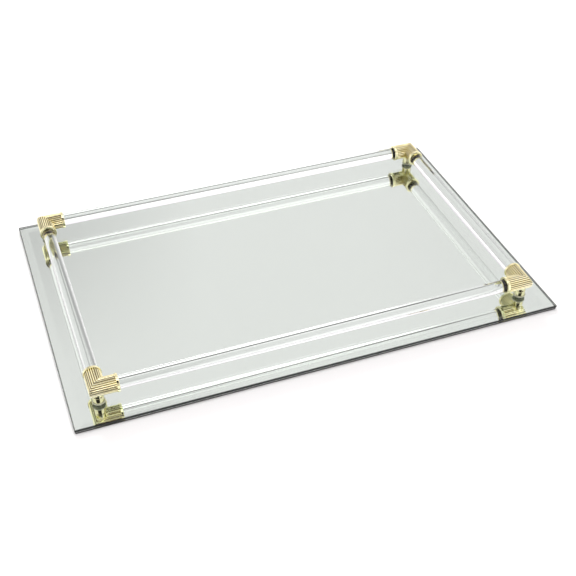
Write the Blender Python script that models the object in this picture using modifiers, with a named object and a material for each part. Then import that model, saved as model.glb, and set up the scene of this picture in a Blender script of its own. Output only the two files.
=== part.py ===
# Dresser vanity tray: a bevelled mirror plate on four low feet, with a gallery
# of four clear rods held in reeded, mitred corner elbows on short posts.
#
# Frame: origin on the standing surface under the middle of the plate,
# +X along the long side, +Y towards the back, +Z up. Metres.

import math

import bmesh
import bpy
from mathutils import Matrix, Vector

# ---------------------------------------------------------------- dimensions
GAP = 0.0003                 # clearance between pieces that touch

PLATE_LENGTH = 0.460
PLATE_WIDTH = 0.300
GLASS_THICKNESS = 0.003
BEVEL_WIDTH = 0.012          # ground border on the upper face
BEVEL_DROP = 0.0005
ARRIS = 0.0003               # polished edge break
BACKING_THICKNESS = 0.0003   # silver and its protective coat

CORNER_INSET = 0.026         # plate edge to rod axis
AXIS_HEIGHT = 0.0166         # glass surface to rod axis
ROD_RADIUS = 0.0060

SOCKET_REACH = 0.0188        # rod axes' crossing to the socket's mouth
RIB_COUNT = 24
RIB_RADIUS = 0.0078
GROOVE_RADIUS = 0.0073
COLLAR_RADIUS = 0.0083
COLLAR_WIDTH = 0.0024
BORE_START = 0.0080          # rod axes' crossing to the bottom of the bore
BOSS_DEPTH = 0.0089          # rod axis to the flat under the elbow

FOOT_HEIGHT = 0.0010
FOOT_RADIUS = 0.0090
FOOT_BORE = 0.0066

POST_RADIUS = 0.0050
SEAT_RADIUS = 0.0058
SEAT_THICKNESS = 0.0015
HOLE_RADIUS = 0.0023         # clearance round the screw
PLATE_HOLE_RADIUS = 0.0030

SCREW_RADIUS = 0.0020
HEAD_RADIUS = 0.0046         # wide thin head, inside the foot
HEAD_HEIGHT = 0.00085
HEX_RADIUS = 0.00150
HEX_DEPTH = 0.00050

# ------------------------------------------------------------ derived levels
BACKING_BOTTOM = FOOT_HEIGHT + GAP
BACKING_TOP = BACKING_BOTTOM + BACKING_THICKNESS
GLASS_BOTTOM = BACKING_TOP + GAP
GLASS_TOP = GLASS_BOTTOM + GLASS_THICKNESS
AXIS_Z = GLASS_TOP + AXIS_HEIGHT
SEAT_BOTTOM = GLASS_TOP + GAP
SEAT_TOP = SEAT_BOTTOM + SEAT_THICKNESS
POST_BOTTOM = SEAT_TOP + GAP
BOSS_BOTTOM = AXIS_Z - BOSS_DEPTH
POST_TOP = BOSS_BOTTOM - GAP
HEAD_TOP = FOOT_HEIGHT
HEAD_BOTTOM = HEAD_TOP - HEAD_HEIGHT
SCREW_TIP = AXIS_Z - 0.0030

AXIS_X = PLATE_LENGTH / 2 - CORNER_INSET
AXIS_Y = PLATE_WIDTH / 2 - CORNER_INSET
ROD_END = BORE_START + GAP

# name, centre, turn about Z that takes the front left elbow there
CORNERS = [
    ("front_left", -AXIS_X, -AXIS_Y, 0.0),
    ("front_right", AXIS_X, -AXIS_Y, math.pi / 2),
    ("back_right", AXIS_X, AXIS_Y, math.pi),
    ("back_left", -AXIS_X, AXIS_Y, -math.pi / 2),
]

# ------------------------------------------------------------------- helpers
for old in list(bpy.data.objects):
    bpy.data.objects.remove(old, do_unlink=True)

parts = bpy.data.collections.new("dresser_vanity_tray")
bpy.context.scene.collection.children.link(parts)
cutters = bpy.data.collections.new("cutters")
bpy.context.scene.collection.children.link(cutters)


def make_material(name, colour, roughness, metallic=0.0, transmission=0.0, ior=1.5):
    """One Principled surface per kind of piece."""
    material = bpy.data.materials.new(name)
    material.use_nodes = True
    shader = material.node_tree.nodes["Principled BSDF"]
    shader.inputs["Base Color"].default_value = (*colour, 1.0)
    shader.inputs["Roughness"].default_value = roughness
    shader.inputs["Metallic"].default_value = metallic
    shader.inputs["Transmission Weight"].default_value = transmission
    shader.inputs["IOR"].default_value = ior
    material.diffuse_color = (*colour, 1.0)
    return material


def add_object(name, mesh, material=None, collection=None):
    """Links a mesh as a named object, in the parts unless told otherwise."""
    obj = bpy.data.objects.new(name, mesh)
    (collection or parts).objects.link(obj)
    if material is not None and not mesh.materials:
        mesh.materials.append(material)
    return obj


def as_cutter(obj):
    """Marks an object as a guide that only serves a Boolean."""
    obj.hide_render = True
    obj.display_type = "WIRE"
    return obj


def smooth(mesh, angle=40.0):
    """Rounds the shading, keeping edges above the angle crisp."""
    mesh.shade_smooth()
    mesh.set_sharp_from_angle(angle=math.radians(angle))


def cylinder_mesh(name, radius, bottom, top, segments=32):
    """A plain cylinder on Z between two heights."""
    mesh = bpy.data.meshes.new(name)
    bm = bmesh.new()
    place = Matrix.Translation((0, 0, (bottom + top) / 2))
    bmesh.ops.create_cone(bm, cap_ends=True, cap_tris=False, segments=segments,
                          radius1=radius, radius2=radius, depth=top - bottom,
                          matrix=place)
    bm.to_mesh(mesh)
    bm.free()
    return mesh


def box_mesh(name, size, bottom, top):
    """A flat box centred on Z, with real (unscaled) measures."""
    mesh = bpy.data.meshes.new(name)
    bm = bmesh.new()
    bmesh.ops.create_cube(bm, size=1.0)
    bmesh.ops.scale(bm, vec=(size[0], size[1], top - bottom), verts=bm.verts)
    bmesh.ops.translate(bm, vec=(0, 0, (top + bottom) / 2), verts=bm.verts)
    bm.to_mesh(mesh)
    bm.free()
    return mesh


def turned(name, profile, closed, segments=32, material=None, collection=None):
    """Turns a profile of (radius, height) about Z with a Screw modifier.

    The profile runs down its outer side, top to bottom. A closed one makes a
    ring; an open one starts and ends on the axis.
    """
    mesh = bpy.data.meshes.new(name)
    bm = bmesh.new()
    verts = [bm.verts.new((r, 0.0, z)) for r, z in profile]
    for a, b in zip(verts, verts[1:]):
        bm.edges.new((a, b))
    if closed:
        bm.edges.new((verts[-1], verts[0]))
    bm.to_mesh(mesh)
    bm.free()
    obj = add_object(name, mesh, material, collection)
    screw = obj.modifiers.new("Screw", "SCREW")
    screw.axis = "Z"
    screw.angle = math.tau
    screw.steps = segments
    screw.render_steps = segments
    screw.use_merge_vertices = True
    screw.merge_threshold = 0.00001
    screw.use_smooth_shade = False
    return obj


def ring_profile(outer, inner, bottom, top, chamfer):
    """A flat ring with its outer edges broken."""
    return [
        (outer - chamfer, top),
        (outer, top - chamfer),
        (outer, bottom + chamfer),
        (outer - chamfer, bottom),
        (inner, bottom),
        (inner, top),
    ]


def evaluated_mesh(obj, name):
    """The object's mesh with its modifiers carried out."""
    bpy.context.view_layer.update()
    graph = bpy.context.evaluated_depsgraph_get()
    mesh = bpy.data.meshes.new_from_object(obj.evaluated_get(graph))
    mesh.name = name
    return mesh


def boolean(obj, other, operation):
    """Joins or cuts with the exact solver."""
    modifier = obj.modifiers.new(operation.title(), "BOOLEAN")
    modifier.operation = operation
    modifier.solver = "EXACT"
    modifier.object = other
    return modifier


# ----------------------------------------------------------------- materials
gold = make_material("polished_gold", (0.86, 0.66, 0.30), 0.12, metallic=1.0)
acrylic = make_material("clear_acrylic", (0.97, 0.98, 0.98), 0.02, 0.0, 1.0, 1.49)
mirror_glass = make_material("mirror_glass", (0.86, 0.92, 0.89), 0.01, 0.0, 1.0, 1.52)
silver_coat = make_material("silver_backing", (0.85, 0.88, 0.87), 0.03, metallic=1.0)
soft_clear = make_material("soft_washer", (0.45, 0.52, 0.49), 0.15, 0.0, 0.6, 1.5)
steel = make_material("plated_steel", (0.62, 0.62, 0.60), 0.28, metallic=1.0)
rubber = make_material("foot_rubber", (0.05, 0.05, 0.05), 0.75)


# --------------------------------------------------------------- mirror plate
def drill_plate(obj, bottom, top):
    """Cuts the four screw holes through a plate."""
    for corner, x, y, _ in CORNERS:
        name = "cut_hole_" + obj.name + "_" + corner
        mesh = cylinder_mesh(name, PLATE_HOLE_RADIUS, bottom - 0.002, top + 0.002, 24)
        hole = as_cutter(add_object(name, mesh, None, cutters))
        hole.location = (x, y, 0)
        boolean(obj, hole, "DIFFERENCE")


def build_glass():
    """Glass with a wide shallow bevel round its upper face."""
    mesh = box_mesh("mirror_glass", (PLATE_LENGTH, PLATE_WIDTH), GLASS_BOTTOM,
                    GLASS_TOP - BEVEL_DROP)
    bm = bmesh.new()
    bm.from_mesh(mesh)
    top_face = [face for face in bm.faces if face.normal.z > 0.5]
    bmesh.ops.inset_region(bm, faces=top_face, thickness=BEVEL_WIDTH, depth=BEVEL_DROP)
    bm.to_mesh(mesh)
    bm.free()
    glass = add_object("mirror_glass", mesh, mirror_glass)
    arris = glass.modifiers.new("Arris", "BEVEL")
    arris.width = ARRIS
    arris.segments = 1
    arris.limit_method = "ANGLE"
    arris.angle_limit = math.radians(40)
    drill_plate(glass, GLASS_BOTTOM, GLASS_TOP)
    return glass


def build_backing():
    """Silver and protective coat under the glass."""
    margin = 2 * ARRIS
    mesh = box_mesh("mirror_backing", (PLATE_LENGTH - margin, PLATE_WIDTH - margin),
                    BACKING_BOTTOM, BACKING_TOP)
    backing = add_object("mirror_backing", mesh, silver_coat)
    drill_plate(backing, BACKING_BOTTOM, BACKING_TOP)
    return backing


# --------------------------------------------------------------- corner elbow
def reeded_outline():
    """Outline of the reeded tube: a groove point and two crest points a rib."""
    points = []
    pitch = math.tau / RIB_COUNT
    for rib in range(RIB_COUNT):
        for part, radius in ((0.0, GROOVE_RADIUS), (0.30, RIB_RADIUS), (0.70, RIB_RADIUS)):
            angle = (rib + part) * pitch
            points.append((radius * math.cos(angle), radius * math.sin(angle)))
    return points


def reeded_tube(start, end):
    """The reeded outline extruded along +X from start to end."""
    outline = bpy.data.curves.new("reeded_outline", "CURVE")
    outline.dimensions = "2D"
    outline.fill_mode = "BOTH"
    outline.extrude = (end - start) / 2
    spline = outline.splines.new("POLY")
    points = reeded_outline()
    spline.points.add(len(points) - 1)
    for point, (u, v) in zip(spline.points, points):
        point.co = (u, v, 0, 1)
    spline.use_cyclic_u = True
    curve = add_object("reeded_outline", outline, None, cutters)
    turn = Matrix.Rotation(math.pi / 2, 4, "Y")
    curve.matrix_world = Matrix.Translation(((start + end) / 2, 0, 0)) @ turn
    mesh = evaluated_mesh(curve, "reeded_tube")
    mesh.transform(curve.matrix_world)
    bm = bmesh.new()
    bm.from_mesh(mesh)
    bmesh.ops.remove_doubles(bm, verts=bm.verts, dist=0.00001)
    bmesh.ops.recalc_face_normals(bm, faces=bm.faces)
    bm.to_mesh(mesh)
    bm.free()
    bpy.data.objects.remove(curve, do_unlink=True)
    return as_cutter(add_object("reeded_tube", mesh, None, cutters))


def build_elbow_mesh():
    """The front left elbow, its rod axes crossing at the local origin.

    One socket along +X is modelled whole and mirrored in the plane X = Y, which
    is the mitre. The boss and the screw's blind hole are added after that.
    """
    leg = reeded_tube(-0.0100, SOCKET_REACH - 0.0010)
    along_x = Matrix.Rotation(math.pi / 2, 4, "Y")

    collar_start = SOCKET_REACH - COLLAR_WIDTH
    chamfer = 0.0003
    collar = turned("collar", [
        (0.0, SOCKET_REACH),
        (COLLAR_RADIUS - chamfer, SOCKET_REACH),
        (COLLAR_RADIUS, SOCKET_REACH - chamfer),
        (COLLAR_RADIUS, collar_start + chamfer),
        (COLLAR_RADIUS - chamfer, collar_start),
        (0.0, collar_start),
    ], False, 36, None, cutters)
    collar.matrix_world = along_x
    as_cutter(collar)
    boolean(leg, collar, "UNION")

    bore_mesh = cylinder_mesh("cut_bore", ROD_RADIUS + GAP, BORE_START,
                              SOCKET_REACH + 0.003, 36)
    bore = as_cutter(add_object("cut_bore", bore_mesh, None, cutters))
    bore.matrix_world = along_x
    boolean(leg, bore, "DIFFERENCE")

    mitre = bpy.data.objects.new("mitre_plane", None)
    cutters.objects.link(mitre)
    mitre.rotation_euler = (0, 0, -math.pi / 4)
    mirror = leg.modifiers.new("Mitre", "MIRROR")
    mirror.mirror_object = mitre
    mirror.use_axis = (True, False, False)
    mirror.use_bisect_axis = (True, False, False)
    mirror.use_clip = True
    mirror.merge_threshold = 0.00002
    mirror.bisect_threshold = 0.00001

    boss_mesh = cylinder_mesh("boss", POST_RADIUS, -BOSS_DEPTH, -0.0040, 32)
    boss = as_cutter(add_object("boss", boss_mesh, None, cutters))
    boolean(leg, boss, "UNION")
    tip = SCREW_TIP + GAP - AXIS_Z
    hole_mesh = cylinder_mesh("cut_screw_hole", HOLE_RADIUS, -0.0150, tip, 20)
    hole = as_cutter(add_object("cut_screw_hole", hole_mesh, None, cutters))
    boolean(leg, hole, "DIFFERENCE")

    mesh = evaluated_mesh(leg, "corner_elbow")
    mesh.materials.clear()
    mesh.materials.append(gold)
    smooth(mesh, 30.0)
    return mesh


# -------------------------------------------------------------- small pieces
def build_post(corner, x, y):
    """Plain round post between the seat washer and the elbow's boss."""
    profile = ring_profile(POST_RADIUS, HOLE_RADIUS, POST_BOTTOM, POST_TOP, 0.0002)
    post = turned("post_" + corner, profile, True, 32, gold)
    post.location = (x, y, 0)


def build_seat_washer(corner, x, y):
    """Translucent washer that keeps the post off the glass."""
    profile = ring_profile(SEAT_RADIUS, HOLE_RADIUS, SEAT_BOTTOM, SEAT_TOP, 0.0003)
    washer = turned("seat_washer_" + corner, profile, True, 32, soft_clear)
    washer.location = (x, y, 0)


def build_screw(corner, x, y):
    """Thin head socket screw from below, up through the post into the elbow."""
    chamfer = 0.0002
    screw = turned("clamp_screw_" + corner, [
        (0.0, SCREW_TIP),
        (SCREW_RADIUS - chamfer, SCREW_TIP),
        (SCREW_RADIUS, SCREW_TIP - chamfer),
        (SCREW_RADIUS, HEAD_TOP),
        (HEAD_RADIUS, HEAD_TOP),
        (HEAD_RADIUS, HEAD_BOTTOM + chamfer),
        (HEAD_RADIUS - chamfer, HEAD_BOTTOM),
        (0.0, HEAD_BOTTOM),
    ], False, 24, steel)
    screw.location = (x, y, 0)
    name = "cut_hex_" + corner
    mesh = cylinder_mesh(name, HEX_RADIUS, HEAD_BOTTOM - 0.001, HEAD_BOTTOM + HEX_DEPTH, 6)
    hexagon = as_cutter(add_object(name, mesh, None, cutters))
    hexagon.location = (x, y, 0)
    boolean(screw, hexagon, "DIFFERENCE")


def build_foot(corner, x, y):
    """Rubber ring foot round the screw's head."""
    profile = ring_profile(FOOT_RADIUS, FOOT_BORE, 0.0, FOOT_HEIGHT, 0.0003)
    foot = turned("foot_" + corner, profile, True, 32, rubber)
    foot.location = (x, y, 0)


def build_rod(name, centre, half_length, along_y):
    """Clear rod between the bottoms of two facing sockets."""
    mesh = cylinder_mesh(name, ROD_RADIUS, -half_length, half_length, 32)
    smooth(mesh)
    rod = add_object(name, mesh, acrylic)
    if along_y:
        rod.rotation_euler = (math.pi / 2, 0, 0)
    else:
        rod.rotation_euler = (0, math.pi / 2, 0)
    rod.location = Vector((centre[0], centre[1], AXIS_Z))


# ------------------------------------------------------------------ assembly
build_glass()
build_backing()

build_rod("rod_front", (0, -AXIS_Y), AXIS_X - ROD_END, False)
build_rod("rod_back", (0, AXIS_Y), AXIS_X - ROD_END, False)
build_rod("rod_left", (-AXIS_X, 0), AXIS_Y - ROD_END, True)
build_rod("rod_right", (AXIS_X, 0), AXIS_Y - ROD_END, True)

elbow_mesh = build_elbow_mesh()
for corner, x, y, turn in CORNERS:
    elbow = add_object("corner_elbow_" + corner, elbow_mesh)
    elbow.location = (x, y, AXIS_Z)
    elbow.rotation_euler = (0, 0, turn)
    build_post(corner, x, y)
    build_seat_washer(corner, x, y)
    build_screw(corner, x, y)
    build_foot(corner, x, y)
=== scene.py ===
import math

import bmesh
import bpy
from mathutils import Matrix, Vector


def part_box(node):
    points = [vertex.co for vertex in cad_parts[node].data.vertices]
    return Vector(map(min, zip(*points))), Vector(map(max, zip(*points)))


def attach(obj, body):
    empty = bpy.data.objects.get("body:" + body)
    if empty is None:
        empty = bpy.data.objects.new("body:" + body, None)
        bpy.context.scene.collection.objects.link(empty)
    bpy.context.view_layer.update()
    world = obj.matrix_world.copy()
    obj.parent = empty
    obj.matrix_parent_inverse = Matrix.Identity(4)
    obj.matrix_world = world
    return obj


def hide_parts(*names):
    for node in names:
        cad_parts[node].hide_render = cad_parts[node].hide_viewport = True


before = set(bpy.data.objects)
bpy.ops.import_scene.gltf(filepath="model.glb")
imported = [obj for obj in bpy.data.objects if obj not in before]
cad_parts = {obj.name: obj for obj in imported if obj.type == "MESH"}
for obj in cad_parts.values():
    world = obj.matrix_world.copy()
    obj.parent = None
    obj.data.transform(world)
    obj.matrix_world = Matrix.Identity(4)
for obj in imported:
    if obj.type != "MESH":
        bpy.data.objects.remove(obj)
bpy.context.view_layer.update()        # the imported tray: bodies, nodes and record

# Dresser vanity tray: a bevelled mirror plate with a gallery of clear rods held
# in reeded gold elbows. Places and lengths come from the CAD nodes' boxes.

cornerNames = ["front_left", "front_right", "back_right", "back_left"]
cornerTurns = [0, 90, 180, -90]      # degrees about Z from the front left corner


def nodeBox(name):
    low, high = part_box(name)
    return Vector([float(v) for v in low]), Vector([float(v) for v in high])


def nodeMiddle(name):
    low, high = nodeBox(name)
    return (low + high) / 2


axisZ = nodeMiddle("rod_front").z    # height of all four rods' axes
cornerSpots = {name: nodeMiddle("post_" + name) for name in cornerNames}
print("frame loaded,", len(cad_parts), "CAD nodes")


# small helpers for nodes, meshes and pieces

def addNode(tree, kind, inputs=None, **settings):
    node = tree.nodes.new(kind)
    for key, value in settings.items():
        setattr(node, key, value)
    for key, value in (inputs or {}).items():
        if isinstance(value, bpy.types.NodeSocket):
            tree.links.new(value, node.inputs[key])
        else:
            node.inputs[key].default_value = value
    return node


def mathNode(tree, operation, a, b=None, c=None):
    values = {i: v for i, v in enumerate((a, b, c)) if v is not None}
    return addNode(tree, "ShaderNodeMath", values, operation=operation).outputs[0]


def putInScene(name, mesh):
    piece = bpy.data.objects.new(name, mesh)
    bpy.context.scene.collection.objects.link(piece)
    return piece


def applyModifiers(piece, name):
    # carries out the modifiers and leaves a plain mesh
    bpy.context.view_layer.update()
    graph = bpy.context.evaluated_depsgraph_get()
    mesh = bpy.data.meshes.new_from_object(piece.evaluated_get(graph))
    mesh.name = name
    return mesh


def smoothShade(mesh, degrees):
    mesh.shade_smooth()
    mesh.set_sharp_from_angle(angle=math.radians(degrees))


def roundCorners(points, steps=4):
    # points are (radius, height, corner radius); a corner radius of 0 stays sharp
    rounded = []
    for i, (r, z, fillet) in enumerate(points):
        here = Vector((r, z))
        if fillet <= 0 or i in (0, len(points) - 1):
            rounded.append((r, z))
            continue
        back = (Vector(points[i - 1][:2]) - here).normalized()
        ahead = (Vector(points[i + 1][:2]) - here).normalized()
        start, end = here + back * fillet, here + ahead * fillet
        for step in range(steps + 1):
            t = step / steps
            point = start * (1 - t) ** 2 + here * 2 * t * (1 - t) + end * t ** 2
            rounded.append((point.x, point.y))
    return rounded


def turnedMesh(name, points, segments, closed=False):
    # turns a profile of (radius, height) about Z; a closed one makes a ring
    bm = bmesh.new()
    rings = []
    for r, z in points:
        if r < 1e-7:      # on the axis: one point instead of a ring
            rings.append([bm.verts.new((0, 0, z))])
            continue
        rings.append([bm.verts.new((r * math.cos(math.tau * k / segments),
                                    r * math.sin(math.tau * k / segments), z))
                      for k in range(segments)])
    pairs = list(zip(rings, rings[1:]))
    if closed:
        pairs.append((rings[-1], rings[0]))
    for upper, lower in pairs:
        for k in range(segments):
            n = (k + 1) % segments
            corners = [upper[k % len(upper)], upper[n % len(upper)],
                       lower[n % len(lower)], lower[k % len(lower)]]
            corners = list(dict.fromkeys(corners))
            if len(corners) > 2:
                bm.faces.new(corners)
    bmesh.ops.recalc_face_normals(bm, faces=bm.faces)
    mesh = bpy.data.meshes.new(name)
    bm.to_mesh(mesh)
    bm.free()
    return mesh


def placedPiece(name, mesh, matrix, material, nodes, degrees=35):
    # a finished piece: place in the mesh, riding on the tray's one body
    own = mesh.copy()
    own.name = name
    own.transform(matrix)
    if not own.materials:
        own.materials.append(material)
    smoothShade(own, degrees)
    piece = putInScene(name, own)
    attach(piece, "root")
    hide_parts(*nodes)
    return piece


# finishes: the values of each stand just above the function that makes it

def newFinish(name, constants):
    # a Principled finish with its fixed values set straight on the shader
    finish = bpy.data.materials.new(name)
    finish.use_nodes = True
    tree = finish.node_tree
    shader = tree.nodes["Principled BSDF"]
    for key, value in constants.items():
        shader.inputs[key].default_value = value
    place = addNode(tree, "ShaderNodeTexCoord").outputs["Object"]
    return finish, tree, shader, place


def noiseField(tree, place, scale, detail=3.0, roughness=0.5, stretch=None):
    vector = place
    if stretch is not None:
        vector = addNode(tree, "ShaderNodeMapping",
                         {"Vector": place, "Scale": stretch}).outputs["Vector"]
    return addNode(tree, "ShaderNodeTexNoise", {
        "Vector": vector, "Scale": scale, "Detail": detail,
        "Roughness": roughness}).outputs["Fac"]


def spread(tree, value, fromLow, fromHigh, toLow, toHigh):
    return addNode(tree, "ShaderNodeMapRange", {
        "Value": value, "From Min": fromLow, "From Max": fromHigh,
        "To Min": toLow, "To Max": toHigh}).outputs["Result"]


def blendColours(tree, factor, first, second):
    node = addNode(tree, "ShaderNodeMix", data_type="RGBA")
    for socket, value in ((node.inputs["Factor"], factor),
                          (node.inputs[6], first), (node.inputs[7], second)):
        if isinstance(value, bpy.types.NodeSocket):
            tree.links.new(value, socket)
        elif isinstance(value, tuple):
            socket.default_value = (*value, 1.0)
        else:
            socket.default_value = value
    return node.outputs[2]


def bumpFrom(tree, shader, height, strength, distance):
    bump = addNode(tree, "ShaderNodeBump", {
        "Height": height, "Strength": strength, "Distance": distance})
    tree.links.new(bump.outputs["Normal"], shader.inputs["Normal"])


goldLook = {
    "paintedGrooveShade": (0.15, 0.080, 0.025),  # painted shade: linear colour down in the grooves
    "body": (0.98, 0.885, 0.44),     # linear colour of the plating
    "wearAndHighlight": (1.0, 0.98, 0.70),     # linear colour where it is lighter: rubbed wear, and a painted highlight on the reed crests
    "grooveRange": (0.55, 0.90),     # depth where the painted groove shade starts, and is full
    "crestRange": (0.49, 0.56, 0.2, 0.9),    # pointiness from and to, share of the rubbed wear and painted highlight from and to
    "cloudScale": 140.0,
    "grainScale": 2600.0,
    "roughness": (0.05, 0.13),
    "grooveRoughness": 0.15,         # added at the bottom of a groove
    "bump": (0.12, 0.00002),         # strength, and height in metres
}


def makeGold():
    finish, tree, shader, place = newFinish("polished_gold_plate", {"Metallic": 1.0})
    cloud = noiseField(tree, place, goldLook["cloudScale"], 4.0)
    grain = noiseField(tree, place, goldLook["grainScale"], 2.0)
    hollow = addNode(tree, "ShaderNodeAttribute", attribute_name="groove").outputs["Fac"]
    crest = addNode(tree, "ShaderNodeNewGeometry").outputs["Pointiness"]
    # paler on the reed crests by pointiness, partly rubbed wear and partly a painted
    # highlight, plus random cloudy patches of wear
    wearAndHighlight = mathNode(tree, "ADD", spread(tree, crest, *goldLook["crestRange"]),
                      spread(tree, cloud, 0.3, 0.7, -0.15, 0.15))
    plated = blendColours(tree, mathNode(tree, "MAXIMUM", wearAndHighlight, 0.0),
                          goldLook["body"], goldLook["wearAndHighlight"])
    # painted shade: the plating turns near-black towards the bottom of each groove
    paintedShade = spread(tree, hollow, *goldLook["grooveRange"], 0.0, 1.0)
    colour = blendColours(tree, paintedShade, plated, goldLook["paintedGrooveShade"])
    tree.links.new(colour, shader.inputs["Base Color"])
    worn = spread(tree, cloud, 0.3, 0.72, *goldLook["roughness"])
    rough = mathNode(tree, "MULTIPLY_ADD", hollow, goldLook["grooveRoughness"], worn)
    tree.links.new(rough, shader.inputs["Roughness"])
    bumpFrom(tree, shader, grain, *goldLook["bump"])
    return finish


boreLook = {
    "deep": (0.060, 0.030, 0.013),
    "bright": (0.19, 0.105, 0.045),
    "cloudScale": 300.0,
    "grainScale": 1800.0,
    "roughness": (0.45, 0.65),
    "bump": (0.3, 0.00005),
}


def makeBore():
    # the inside of each socket is coloured a very dark brown, with lighter cloudy patches
    finish, tree, shader, place = newFinish("dark_bore_lining", {"Metallic": 0.6})
    cloud = noiseField(tree, place, boreLook["cloudScale"], 4.0)
    colour = blendColours(tree, spread(tree, cloud, 0.35, 0.7, 0.0, 1.0),
                          boreLook["deep"], boreLook["bright"])
    tree.links.new(colour, shader.inputs["Base Color"])
    tree.links.new(spread(tree, cloud, 0.3, 0.7, *boreLook["roughness"]),
                   shader.inputs["Roughness"])
    bumpFrom(tree, shader, noiseField(tree, place, boreLook["grainScale"]),
             *boreLook["bump"])
    return finish


acrylicLook = {
    "tint": (0.985, 0.992, 0.988),
    "clear": (1.0, 1.0, 1.0),
    "cloudScale": 18.0,
    "drawnScale": 500.0,
    "drawnStretch": (0.02, 1.0, 1.0),
    "roughness": (0.0, 0.03),
    "bump": (0.03, 0.0001),
}


def makeAcrylic():
    finish, tree, shader, place = newFinish("clear_acrylic_rod", {
        "Transmission Weight": 1.0, "IOR": 1.49})
    cloud = noiseField(tree, place, acrylicLook["cloudScale"])
    drawn = noiseField(tree, place, acrylicLook["drawnScale"], 2.0, 0.5,
                       acrylicLook["drawnStretch"])
    colour = blendColours(tree, cloud, acrylicLook["tint"], acrylicLook["clear"])
    tree.links.new(colour, shader.inputs["Base Color"])
    tree.links.new(spread(tree, drawn, 0.35, 0.75, *acrylicLook["roughness"]),
                   shader.inputs["Roughness"])
    bumpFrom(tree, shader, cloud, *acrylicLook["bump"])
    return finish


glassLook = {
    "tint": (0.970, 0.998, 0.968),
    "edgeTint": (0.004, 0.009, 0.007),
    "edgeRoughness": 0.06,
    "rimTint": (0.40, 0.43, 0.40),           # the ground edge seen through the top
    "rimWidth": 0.0011,
    "rimFull": 0.6,                          # share of that width at full strength
    "smearScale": 9.0,
    "smearRoughness": 0.012,
    "waveScale": 30.0,
    "bump": (0.01, 0.0001),
    "bodyColour": (0.60, 0.86, 0.76, 1.0),   # what long paths inside turn to
    "bodyDensity": 9.0,
}


def makeGlass():
    finish, tree, shader, place = newFinish("bevelled_mirror_glass", {
        "Transmission Weight": 1.0, "IOR": 1.52})
    normal = addNode(tree, "ShaderNodeNewGeometry").outputs["Normal"]
    up = addNode(tree, "ShaderNodeSeparateXYZ", {0: normal}).outputs["Z"]
    edge = mathNode(tree, "LESS_THAN", mathNode(tree, "ABSOLUTE", up), 0.9)
    smear = noiseField(tree, place, glassLook["smearScale"], 4.0, 0.6)
    # the ground edge shows through as a thin dark rim
    corner = nodeBox("mirror_glass")[1]
    parts = addNode(tree, "ShaderNodeSeparateXYZ", {0: place}).outputs
    width, full = glassLook["rimWidth"], glassLook["rimFull"]
    rims = [spread(tree, mathNode(tree, "ABSOLUTE", parts[axis]), reach - width,
                   reach - full * width, 0.0, 1.0)
            for axis, reach in (("X", corner.x), ("Y", corner.y))]
    clear = blendColours(tree, mathNode(tree, "MAXIMUM", *rims), glassLook["tint"],
                         glassLook["rimTint"])
    colour = blendColours(tree, edge, clear, glassLook["edgeTint"])
    tree.links.new(colour, shader.inputs["Base Color"])
    ground = mathNode(tree, "MULTIPLY", edge, glassLook["edgeRoughness"])
    haze = spread(tree, smear, 0.45, 0.8, 0.0, glassLook["smearRoughness"])
    tree.links.new(mathNode(tree, "ADD", ground, haze), shader.inputs["Roughness"])
    bumpFrom(tree, shader, noiseField(tree, place, glassLook["waveScale"], 1.0),
             *glassLook["bump"])
    body = addNode(tree, "ShaderNodeVolumeAbsorption", {
        "Color": glassLook["bodyColour"], "Density": glassLook["bodyDensity"]})
    tree.links.new(body.outputs[0], tree.nodes["Material Output"].inputs["Volume"])
    return finish


silverLook = {
    "silver": (0.915, 0.925, 0.905),
    "cloud": (0.900, 0.912, 0.892),
    "paint": (0.045, 0.049, 0.048),  # protective coat, seen from below
    "paintMottle": (0.075, 0.080, 0.078),
    "cloudScale": 6.0,
    "mottleScale": 220.0,
    "silverRoughness": 0.012,
    "paintRoughness": 0.55,
    "bump": (0.4, 0.00008),
}


def makeSilver():
    finish, tree, shader, place = newFinish("silver_and_backing_coat", {})
    normal = addNode(tree, "ShaderNodeNewGeometry").outputs["Normal"]
    up = addNode(tree, "ShaderNodeSeparateXYZ", {0: normal}).outputs["Z"]
    silvered = mathNode(tree, "GREATER_THAN", up, 0.5)
    cloud = noiseField(tree, place, silverLook["cloudScale"], 3.0)
    mottle = noiseField(tree, place, silverLook["mottleScale"], 5.0, 0.65)
    silver = blendColours(tree, cloud, silverLook["silver"], silverLook["cloud"])
    paint = blendColours(tree, spread(tree, mottle, 0.35, 0.7, 0.0, 1.0),
                         silverLook["paint"], silverLook["paintMottle"])
    tree.links.new(blendColours(tree, silvered, paint, silver), shader.inputs["Base Color"])
    tree.links.new(silvered, shader.inputs["Metallic"])
    rough = addNode(tree, "ShaderNodeMix", {
        0: silvered, 2: silverLook["paintRoughness"], 3: silverLook["silverRoughness"]})
    tree.links.new(rough.outputs[0], shader.inputs["Roughness"])
    relief = mathNode(tree, "MULTIPLY", mottle, mathNode(tree, "SUBTRACT", 1.0, silvered))
    bumpFrom(tree, shader, relief, *silverLook["bump"])
    return finish


washerLook = {
    "deep": (0.80, 0.84, 0.60),
    "light": (0.97, 1.0, 0.76),
    "cloudScale": 380.0,
    "grainScale": 1500.0,
    "roughness": (0.12, 0.28),
    "bump": (0.1, 0.00005),
}


def makeSoftWasher():
    finish, tree, shader, place = newFinish("translucent_washer", {
        "Transmission Weight": 0.25, "IOR": 1.42})
    cloud = noiseField(tree, place, washerLook["cloudScale"], 4.0)
    colour = blendColours(tree, spread(tree, cloud, 0.3, 0.7, 0.0, 1.0),
                          washerLook["deep"], washerLook["light"])
    tree.links.new(colour, shader.inputs["Base Color"])
    tree.links.new(spread(tree, cloud, 0.3, 0.7, *washerLook["roughness"]),
                   shader.inputs["Roughness"])
    bumpFrom(tree, shader, noiseField(tree, place, washerLook["grainScale"]),
             *washerLook["bump"])
    return finish


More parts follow.
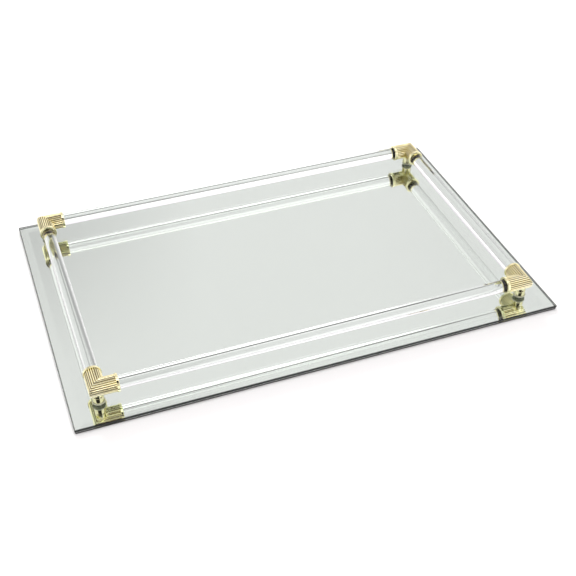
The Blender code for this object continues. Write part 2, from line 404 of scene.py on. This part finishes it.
steelLook = {
    "dull": (0.42, 0.42, 0.41),
    "bright": (0.70, 0.70, 0.68),
    "cloudScale": 420.0,
    "scratchScale": 900.0,
    "scratchStretch": (1.0, 0.12, 0.12),
    "roughness": (0.22, 0.42),
    "bump": (0.2, 0.00004),
}


def makeSteel():
    finish, tree, shader, place = newFinish("plated_steel", {
        "Metallic": 1.0, "Anisotropic": 0.4})
    cloud = noiseField(tree, place, steelLook["cloudScale"], 4.0, 0.6)
    scratch = noiseField(tree, place, steelLook["scratchScale"], 3.0, 0.6,
                         steelLook["scratchStretch"])
    colour = blendColours(tree, spread(tree, cloud, 0.3, 0.7, 0.0, 1.0),
                          steelLook["dull"], steelLook["bright"])
    tree.links.new(colour, shader.inputs["Base Color"])
    tree.links.new(spread(tree, scratch, 0.3, 0.7, *steelLook["roughness"]),
                   shader.inputs["Roughness"])
    bumpFrom(tree, shader, scratch, *steelLook["bump"])
    return finish


rubberLook = {
    "base": (0.022, 0.022, 0.023),
    "scuffed": (0.075, 0.073, 0.070),
    "cloudScale": 260.0,
    "grainScale": 2400.0,
    "roughness": (0.6, 0.85),
    "bump": (0.35, 0.00008),
}


def makeRubber():
    finish, tree, shader, place = newFinish("foot_rubber", {"Specular IOR Level": 0.35})
    cloud = noiseField(tree, place, rubberLook["cloudScale"], 5.0, 0.65)
    colour = blendColours(tree, spread(tree, cloud, 0.4, 0.75, 0.0, 1.0),
                          rubberLook["base"], rubberLook["scuffed"])
    tree.links.new(colour, shader.inputs["Base Color"])
    tree.links.new(spread(tree, cloud, 0.3, 0.7, *rubberLook["roughness"]),
                   shader.inputs["Roughness"])
    bumpFrom(tree, shader, noiseField(tree, place, rubberLook["grainScale"], 2.0),
             *rubberLook["bump"])
    return finish


gold, bore, acrylic = makeGold(), makeBore(), makeAcrylic()
glass, silver, softClear = makeGlass(), makeSilver(), makeSoftWasher()
steel, rubber = makeSteel(), makeRubber()
print("finishes made")


# mirror plate: the CAD nodes keep their shape and take their finishes

def dressNode(name, finish):
    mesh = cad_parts[name].data
    if not mesh.materials:
        mesh.materials.append(finish)
    for i in range(len(mesh.materials)):
        mesh.materials[i] = finish


dressNode("mirror_glass", glass)
dressNode("mirror_backing", silver)
print("mirror plate dressed")


# reeded elbows

elbow = {
    "reeds": 24,             # reeds round each socket
    "pointsPerReed": 8,
    "crestRadius": 0.0078,
    "reedDepth": 0.00072,
    "reach": 0.0188,         # rod axes' crossing to the socket's mouth
    "collarRadius": 0.0083,
    "collarWidth": 0.0024,
    "rowShares": (0.0, 0.5, 0.9),    # reeded rows between the mitre and the collar
    "lip": 0.0004,           # rounding of the collar's edges
    "boreLip": 0.00025,      # rounding into the bore
    "lastRow": 0.0002,       # length of the last reeded row
    "boreRadius": 0.0063,
    "boreStart": 0.0080,
    "bossRadius": 0.0050,
    "bossDepth": 0.0089,     # rod axis to the flat on the post
    "bossTop": 0.0040,
    "screwHole": 0.0023,
    "screwHoleTop": 0.0027,  # below the rod axis
    "screwHoleEnd": 0.0150,
    "bossChamfer": 0.0001,
    "bossSegments": 48,
    "holeSegments": 32,
    "weld": 0.000002,        # points closer than this become one
}


def socketProfile():
    # (along the rod, radius) down the outside, round the mouth and back up the
    # bore, with how far each row is reeded, mitred and inside the bore
    e = elbow
    crest, lip = e["crestRadius"], e["lip"]
    collarStart = e["reach"] - e["collarWidth"]
    rows = [(collarStart * t, crest, 1.0, 1.0 - t, 0.0) for t in e["rowShares"]]
    rows += [(collarStart - e["lastRow"], crest, 1.0, 0.0, 0.0),
             (collarStart, crest, 1.0, 0.0, 0.0)]
    rim = roundCorners([
        (collarStart, crest, 0.0),
        (collarStart, e["collarRadius"], lip),
        (e["reach"], e["collarRadius"], lip),
        (e["reach"], e["boreRadius"], e["boreLip"]),
        (e["boreStart"], e["boreRadius"], 0.0),
    ])
    rows += [(x, r, 0.0, 0.0, 0.0) for x, r in rim[1:-1]]
    rows += [(x, r, 0.0, 0.0, 1.0) for x, r in (rim[-1], (e["boreStart"], 0.0))]
    return rows


def profileMesh(rows):
    mesh = bpy.data.meshes.new("socket_profile")
    mesh.from_pydata([(x, r, 0) for x, r, *_ in rows],
                     [(i, i + 1) for i in range(len(rows) - 1)], [])
    for column, label in ((2, "reeded"), (3, "mitred"), (4, "inBore")):
        layer = mesh.attributes.new(label, "FLOAT", "POINT")
        layer.data.foreach_set("value", [row[column] for row in rows])
    return mesh


def buildSocketTree():
    # turns the profile into one reeded socket, cuts it on the mitre and mirrors it
    tree = bpy.data.node_groups.new("reeded_socket_pair", "GeometryNodeTree")
    tree.interface.new_socket("Geometry", in_out="OUTPUT", socket_type="NodeSocketGeometry")
    tree.interface.new_socket("Geometry", in_out="INPUT", socket_type="NodeSocketGeometry")
    for label, kind in (("Reeds", "Int"), ("Points per Reed", "Int"),
                        ("Reed Depth", "Float"), ("Metal", "Material"),
                        ("Bore", "Material")):
        tree.interface.new_socket(label, in_out="INPUT", socket_type="NodeSocket" + kind)
    given = addNode(tree, "NodeGroupInput").outputs
    profile = given["Geometry"]
    rows = addNode(tree, "GeometryNodeAttributeDomainSize", {"Geometry": profile},
                   component="MESH").outputs["Point Count"]
    around = mathNode(tree, "MULTIPLY", given["Reeds"], given["Points per Reed"])
    columns = mathNode(tree, "ADD", around, 1.0)
    grid = addNode(tree, "GeometryNodeMeshGrid",
                   {"Vertices X": rows, "Vertices Y": columns}).outputs["Mesh"]

    index = addNode(tree, "GeometryNodeInputIndex").outputs[0]
    row = mathNode(tree, "FLOOR", mathNode(tree, "DIVIDE", mathNode(
        tree, "ADD", index, 0.5), columns))
    column = mathNode(tree, "SUBTRACT", index, mathNode(tree, "MULTIPLY", row, columns))

    def sampled(label, kind):
        source = addNode(tree, "GeometryNodeInputPosition").outputs[0] if label is None \
            else addNode(tree, "GeometryNodeInputNamedAttribute", {"Name": label},
                         data_type=kind).outputs["Attribute"]
        return addNode(tree, "GeometryNodeSampleIndex", {
            "Geometry": profile, "Value": source, "Index": row},
            data_type=kind, domain="POINT", clamp=True).outputs["Value"]

    place = addNode(tree, "ShaderNodeSeparateXYZ", {0: sampled(None, "FLOAT_VECTOR")})
    reeded, mitred = sampled("reeded", "FLOAT"), sampled("mitred", "FLOAT")

    # rounded reeds with a rounded groove between them
    share = mathNode(tree, "DIVIDE", column, given["Points per Reed"])
    wave = mathNode(tree, "COSINE", mathNode(tree, "MULTIPLY", share, math.tau))
    crown = mathNode(tree, "MULTIPLY_ADD", wave, -0.5, 0.5)
    cut = mathNode(tree, "MULTIPLY", mathNode(tree, "MULTIPLY", reeded,
                                              given["Reed Depth"]),
                   mathNode(tree, "SUBTRACT", 1.0, crown))
    radius = mathNode(tree, "MAXIMUM", mathNode(
        tree, "SUBTRACT", place.outputs["Y"], cut), 0.0)
    angle = mathNode(tree, "MULTIPLY", mathNode(tree, "DIVIDE", column, around), math.tau)
    y = mathNode(tree, "MULTIPLY", radius, mathNode(tree, "COSINE", angle))
    z = mathNode(tree, "MULTIPLY", radius, mathNode(tree, "SINE", angle))
    x = mathNode(tree, "ADD", place.outputs["X"], mathNode(tree, "MULTIPLY", y, mitred))
    at = addNode(tree, "ShaderNodeCombineXYZ", {"X": x, "Y": y, "Z": z}).outputs[0]
    shaped = addNode(tree, "GeometryNodeSetPosition", {
        "Geometry": grid, "Position": at}).outputs[0]

    inBore = mathNode(tree, "GREATER_THAN", sampled("inBore", "FLOAT"), 0.9)
    marked = addNode(tree, "GeometryNodeStoreNamedAttribute", {
        "Geometry": shaped, "Name": "inBore", "Value": inBore},
        data_type="FLOAT", domain="POINT").outputs[0]
    # depth into the groove, which the gold finish uses for its painted shade and its
    # roughness
    depth = mathNode(tree, "MULTIPLY", reeded, mathNode(tree, "SUBTRACT", 1.0, crown))
    marked = addNode(tree, "GeometryNodeStoreNamedAttribute", {
        "Geometry": marked, "Name": "groove", "Value": depth},
        data_type="FLOAT", domain="POINT").outputs[0]
    other = addNode(tree, "GeometryNodeTransform", {
        "Geometry": marked, "Rotation": (0, 0, math.pi / 2),
        "Scale": (1, -1, 1)}).outputs[0]
    other = addNode(tree, "GeometryNodeFlipFaces", {"Mesh": other}).outputs[0]
    both = addNode(tree, "GeometryNodeJoinGeometry", {"Geometry": marked})
    tree.links.new(other, both.inputs[0])
    welded = addNode(tree, "GeometryNodeMergeByDistance", {
        "Geometry": both.outputs[0], "Distance": elbow["weld"]}).outputs[0]
    real = addNode(tree, "GeometryNodeRealizeInstances", {"Geometry": welded}).outputs[0]
    plated = addNode(tree, "GeometryNodeSetMaterial", {
        "Geometry": real, "Material": given["Metal"]}).outputs[0]
    within = addNode(tree, "GeometryNodeInputNamedAttribute", {"Name": "inBore"},
                     data_type="FLOAT").outputs["Attribute"]
    lined = addNode(tree, "GeometryNodeSetMaterial", {
        "Geometry": plated, "Material": given["Bore"],
        "Selection": mathNode(tree, "GREATER_THAN", within, 0.99)}).outputs[0]
    addNode(tree, "NodeGroupOutput", {0: lined})
    return tree


def setInputs(modifier, values):
    for item in modifier.node_group.interface.items_tree:
        if item.in_out == "INPUT" and item.name in values:
            modifier[item.identifier] = values[item.name]


def cutOrJoin(piece, other, operation):
    modifier = piece.modifiers.new(operation.title(), "BOOLEAN")
    modifier.operation = operation
    modifier.solver = "EXACT"
    modifier.object = other


def buildElbowMesh():
    e = elbow
    piece = putInScene("elbow_work", profileMesh(socketProfile()))
    nodes = piece.modifiers.new("Sockets", "NODES")
    nodes.node_group = buildSocketTree()
    setInputs(nodes, {"Reeds": e["reeds"], "Points per Reed": e["pointsPerReed"],
                      "Reed Depth": e["reedDepth"], "Metal": gold, "Bore": bore})
    pair = applyModifiers(piece, "elbow_pair")
    bpy.data.objects.remove(piece)
    bm = bmesh.new()
    bm.from_mesh(pair)
    bmesh.ops.recalc_face_normals(bm, faces=bm.faces)
    bm.to_mesh(pair)
    bm.free()

    piece = putInScene("elbow_work", pair)
    boss = putInScene("boss", turnedMesh("boss", [
        (0, -e["bossTop"]), (e["bossRadius"], -e["bossTop"]),
        (e["bossRadius"], -e["bossDepth"] + e["bossChamfer"]),
        (e["bossRadius"] - e["bossChamfer"], -e["bossDepth"]),
        (0, -e["bossDepth"])], e["bossSegments"]))
    hole = putInScene("screw_hole", turnedMesh("screw_hole", [
        (0, -e["screwHoleTop"]), (e["screwHole"], -e["screwHoleTop"]),
        (e["screwHole"], -e["screwHoleEnd"]), (0, -e["screwHoleEnd"])],
        e["holeSegments"]))
    for tool, slot in ((boss, 0), (hole, 1)):
        tool.data.materials.append(gold)
        tool.data.materials.append(bore)
        for face in tool.data.polygons:
            face.material_index = slot
    cutOrJoin(piece, boss, "UNION")
    cutOrJoin(piece, hole, "DIFFERENCE")
    mesh = applyModifiers(piece, "reeded_elbow")
    while mesh.materials[0] is None:      # the bare grid's empty slot, used by no face
        mesh.materials.pop(index=0)
    for spent in (piece, boss, hole):
        bpy.data.objects.remove(spent)
    return mesh


elbowMesh = buildElbowMesh()
for corner, degrees in zip(cornerNames, cornerTurns):
    spot = cornerSpots[corner]
    turn = Matrix.Translation((spot.x, spot.y, axisZ)) \
        @ Matrix.Rotation(math.radians(degrees), 4, "Z")
    placedPiece("reeded_elbow_" + corner, elbowMesh, turn, gold,
                ["corner_elbow_" + corner])
print("elbows made,", len(elbowMesh.polygons), "faces each")


# clear rods

rods = {
    "segments": 128,
    "endChamfer": 0.0004,
    "endBand": 0.002,        # short band of faces at each end
}


def buildRod(name):
    low, high = nodeBox(name)
    size, middle = high - low, (high + low) / 2
    alongX = size.x > size.y
    half = (size.x if alongX else size.y) / 2
    radius = size.z / 2
    profile = roundCorners([
        (0, half, 0), (radius, half, rods["endChamfer"]),
        (radius, half - rods["endBand"], 0), (radius, -half + rods["endBand"], 0),
        (radius, -half, rods["endChamfer"]), (0, -half, 0)])
    turn = Matrix.Rotation(math.pi / 2, 4, "Y" if alongX else "X")
    placedPiece("clear_" + name, turnedMesh(name, profile, rods["segments"]),
                Matrix.Translation(middle) @ turn, acrylic, [name])


for side in ("front", "back", "left", "right"):
    buildRod("rod_" + side)
print("rods made")


# posts, washers, screws and feet

turnedSegments = 64
goldPost = {"hole": 0.0023, "edge": 0.00022, "smoothAngle": 50}
seatWasher = {"hole": 0.0023, "edge": 0.00055, "smoothAngle": 60}
clampScrew = {
    "headRadius": 0.0046,
    "headHeight": 0.00085,
    "headEdges": (0.0002, 0.0004),    # under the head, round its face
    "shankRadius": 0.0020,
    "tipEdge": 0.0004,
    "keyRadius": 0.00150,
    "keyDepth": 0.00050,
    "keySides": 6,
    "keyClear": 0.001,                # how far the cutter stands out
}
rubberFoot = {
    "hole": 0.0066,
    "edge": 0.00035,
    "groove": 0.00018,
    "grooveInsets": (0.00125, 0.0006),    # from the outside, from the hole
    "smoothAngle": 50,
}


def ringFor(node, ring):
    # a ring with softened outer edges that fills the CAD node's box; a foot also
    # has two shallow grooves moulded into its tread
    low, high = nodeBox(node)
    outer, inner, edge = (high.x - low.x) / 2, ring["hole"], ring["edge"]
    tread = []
    if "groove" in ring:
        g, (fromOutside, fromHole) = ring["groove"], ring["grooveInsets"]
        for middle in (outer - fromOutside, inner + fromHole):
            tread += [(middle + g, low.z, 0), (middle, low.z + g, 0),
                      (middle - g, low.z, 0)]
    points = roundCorners([
        (inner, high.z, 0), (outer, high.z, edge), (outer, low.z, edge), *tread,
        (inner, low.z, 0)])
    return turnedMesh(node, points, turnedSegments, True)


def screwFor(node):
    # wide thin head with a hexagon key recess, plain shank above it
    c = clampScrew
    low, high = nodeBox(node)
    headTop, keyTop, keyEnd = (low.z + c["headHeight"], low.z + c["keyDepth"],
                               low.z - c["keyClear"])
    underHead, roundFace = c["headEdges"]
    points = roundCorners([
        (0, high.z, 0), (c["shankRadius"], high.z, c["tipEdge"]),
        (c["shankRadius"], headTop, 0), (c["headRadius"], headTop, underHead),
        (c["headRadius"], low.z, roundFace), (0, low.z, 0)])
    piece = putInScene("screw_work", turnedMesh(node, points, turnedSegments))
    key = putInScene("key", turnedMesh("key", [
        (0, keyTop), (c["keyRadius"], keyTop), (c["keyRadius"], keyEnd),
        (0, keyEnd)], c["keySides"]))
    cutOrJoin(piece, key, "DIFFERENCE")
    mesh = applyModifiers(piece, node)
    for spent in (piece, key):
        bpy.data.objects.remove(spent)
    return mesh


for corner in cornerNames:
    spot = cornerSpots[corner]
    put = Matrix.Translation((spot.x, spot.y, 0))
    post, seat = "post_" + corner, "seat_washer_" + corner
    screw, foot = "clamp_screw_" + corner, "foot_" + corner
    placedPiece("gold_" + post, ringFor(post, goldPost), put, gold, [post],
                goldPost["smoothAngle"])
    placedPiece("soft_" + seat, ringFor(seat, seatWasher), put, softClear, [seat],
                seatWasher["smoothAngle"])
    placedPiece("steel_" + screw, screwFor(screw), put, steel, [screw])
    placedPiece("rubber_" + foot, ringFor(foot, rubberFoot), put, rubber, [foot],
                rubberFoot["smoothAngle"])
print("fittings made")


# studio: floor, dome of light, two lamps and the camera

studio = {
    "floorSize": 40.0,
    "floorColour": (0.92, 0.925, 0.90),
    "gapPaintedShadow": (0.06, 0.055, 0.05),         # painted shadow on the floor right under the plate
    "gapFade": 0.0010,
    # brightness of the dome by elevation in degrees, horizon to zenith
    "sky": [(0, 1.06), (6, 1.10), (12, 1.25), (26, 1.20), (30, 0.90), (45, 0.89),
            (56, 0.98), (66, 1.0), (68, 1.9), (75, 1.9), (78, 0.95), (90, 0.95)],
    "skyColour": (1.0, 0.960, 1.0, 1.0),
    "frameLift": (57.8, 59.5, 63.5, 65.0),    # dark frame of the overhead light
    "frameReach": (0.1, 0.25, 0.0, 1.0),      # fades in towards +Y
    "frameShade": 0.10,
    "nearLift": (64.0, 68.0, 79.0, 83.0),     # near half of the overhead light
    "nearReach": (-0.08, 0.0, 1.0, 0.0),
    "nearGain": 1.7,
    # how the dome's brightness varies with the bearing, degrees right of +Y
    "sides": [(-70, 1.0), (-40, 0.74), (-12, 0.74), (14, 1.0), (26, 1.0), (38, 0.97),
              (44, 0.86), (52, 0.66), (62, 0.66), (80, 1.0)],
    # how strong that is by elevation: from and to, share before and after
    "sideLifts": [(36.0, 43.0, 2.2, 0.4), (24.0, 32.0, 0.4, 1.0), (55.0, 70.0, 1.0, 0.0)],
    "darkSide": 0.02,                         # unlit side of the room, to the front
    "darkBearing": 199.0,                     # degrees right of +Y
    "darkWidth": (33.0, 39.0),                # degrees to either side, fading out
    "darkTop": (62.0, 70.0),                  # elevation, fading out
    "darkFoot": (33.0, 38.0, 0.5, 1.0),       # only a light shade lower down
    "cameraPlace": (-0.25963, -0.72963, 0.61601),    # its height is above the glass
    "cameraTurn": (20.530, 39.853, 0.2745),   # degrees right of +Y, down, roll
    "lens": 62.17,
    "sensorWidth": 36.0,
    "clip": (0.01, 60.0),
    "lamps": [("back_lamp", (-0.1, 2.6, 1.5), 0.8, 46.0, (0.97, 1.0, 0.97)),
              ("top_lamp", (0, 0.3, 3.0), 2.5, 20.0, (0.98, 1.0, 0.97))],
}


def buildFloor():
    mesh = bpy.data.meshes.new("studio_floor")
    h = studio["floorSize"] / 2
    mesh.from_pydata([(-h, -h, 0), (h, -h, 0), (h, h, 0), (-h, h, 0)], [], [(0, 1, 2, 3)])
    finish, tree, shader, place = newFinish("pale_floor", {
        "Roughness": 0.9, "Specular IOR Level": 0.1})
    # painted shadow: the floor under the plate is coloured near-black, as the narrow gap
    # there hardly sees any light
    parts = addNode(tree, "ShaderNodeSeparateXYZ", {0: place}).outputs
    reach = nodeBox("mirror_glass")[1]
    under = [spread(tree, mathNode(tree, "ABSOLUTE", parts[axis]),
                    half - studio["gapFade"], half, 1.0, 0.0)
             for axis, half in (("X", reach.x), ("Y", reach.y))]
    tree.links.new(blendColours(tree, mathNode(tree, "MINIMUM", *under),
                                studio["floorColour"], studio["gapPaintedShadow"]),
                   shader.inputs["Base Color"])
    mesh.materials.append(finish)
    floor = putInScene("studio_floor", mesh)


def buildSky():
    world = bpy.data.worlds.new("soft_studio")
    bpy.context.scene.world = world
    world.use_nodes = True
    tree = world.node_tree
    tree.nodes.clear()
    way = addNode(tree, "ShaderNodeTexCoord").outputs["Generated"]
    parts = addNode(tree, "ShaderNodeSeparateXYZ", {0: way}).outputs
    lift = mathNode(tree, "MULTIPLY", mathNode(tree, "ARCSINE", parts["Z"]),
                    180 / math.pi)                      # elevation in degrees
    bearing = mathNode(tree, "MULTIPLY", mathNode(
        tree, "ARCTAN2", parts["X"], parts["Y"]), 180 / math.pi)    # right of +Y
    sky = studio["sky"][0][1]
    for (lower, first), (upper, second) in zip(studio["sky"], studio["sky"][1:]):
        sky = mathNode(tree, "ADD", sky, spread(tree, lift, lower, upper, 0.0,
                                                second - first))
    side = studio["sides"][0][1]
    for (lower, first), (upper, second) in zip(studio["sides"], studio["sides"][1:]):
        side = mathNode(tree, "ADD", side, spread(tree, bearing, lower, upper, 0.0,
                                                  second - first))
    side = mathNode(tree, "SUBTRACT", 1.0, side)
    for shares in studio["sideLifts"]:
        side = mathNode(tree, "MULTIPLY", side, spread(tree, lift, *shares))
    sky = mathNode(tree, "MULTIPLY", sky, mathNode(tree, "SUBTRACT", 1.0, side))
    # the overhead light: a dark frame on the far side, the near half brighter
    for band, reach, gain in (("frameLift", "frameReach", "frameShade"),
                              ("nearLift", "nearReach", "nearGain")):
        a, b, c, d = studio[band]
        ring = mathNode(tree, "MULTIPLY", spread(tree, lift, a, b, 0.0, 1.0),
                        spread(tree, lift, c, d, 1.0, 0.0))
        ring = mathNode(tree, "MULTIPLY", ring, spread(tree, parts["Y"], *studio[reach]))
        sky = mathNode(tree, "MULTIPLY", sky, mathNode(
            tree, "MULTIPLY_ADD", ring, studio[gain] - 1.0, 1.0))
    # the dark side of the room
    turned = mathNode(tree, "SUBTRACT", bearing, studio["darkBearing"])
    turned = mathNode(tree, "WRAP", turned, 180.0, -180.0)
    aside = mathNode(tree, "ABSOLUTE", turned)
    dark = mathNode(tree, "MULTIPLY", spread(tree, aside, *studio["darkWidth"], 1.0, 0.0),
                    spread(tree, lift, *studio["darkTop"], 1.0, 0.0))
    dark = mathNode(tree, "MULTIPLY", dark, spread(tree, lift, *studio["darkFoot"]))
    strength = mathNode(tree, "ADD", mathNode(
        tree, "MULTIPLY", sky, mathNode(tree, "SUBTRACT", 1.0, dark)),
        mathNode(tree, "MULTIPLY", dark, studio["darkSide"]))
    back = addNode(tree, "ShaderNodeBackground", {
        "Color": studio["skyColour"], "Strength": strength})
    addNode(tree, "ShaderNodeOutputWorld", {"Surface": back.outputs[0]})


def buildLamp(name, place, size, power, colour):
    # a round soft lamp aimed at the tray, without a reflection of its own
    light = bpy.data.lights.new(name, "AREA")
    light.shape = "DISK"
    light.size, light.energy, light.color = size, power, colour
    lamp = bpy.data.objects.new(name, light)
    bpy.context.scene.collection.objects.link(lamp)
    lamp.location = place
    lamp.rotation_euler = (-Vector(place)).to_track_quat("-Z", "Y").to_euler()
    lamp.visible_glossy = lamp.visible_transmission = lamp.visible_camera = False


def buildCamera():
    data = bpy.data.cameras.new("studio_camera")
    data.lens = studio["lens"]
    data.sensor_width = studio["sensorWidth"]
    data.clip_start, data.clip_end = studio["clip"]
    camera = bpy.data.objects.new("studio_camera", data)
    bpy.context.scene.collection.objects.link(camera)
    right, down, roll = [math.radians(v) for v in studio["cameraTurn"]]
    place = Vector(studio["cameraPlace"]) + Vector((0, 0, nodeBox("mirror_glass")[1].z))
    camera.matrix_world = Matrix.Translation(place) \
        @ Matrix.Rotation(-right, 4, "Z") @ Matrix.Rotation(math.pi / 2 - down, 4, "X") \
        @ Matrix.Rotation(roll, 4, "Z")
    bpy.context.scene.camera = camera


bpy.context.scene.view_settings.view_transform = "Standard"
buildFloor()
buildSky()
for lampValues in studio["lamps"]:
    buildLamp(*lampValues)
buildCamera()
print("studio made")
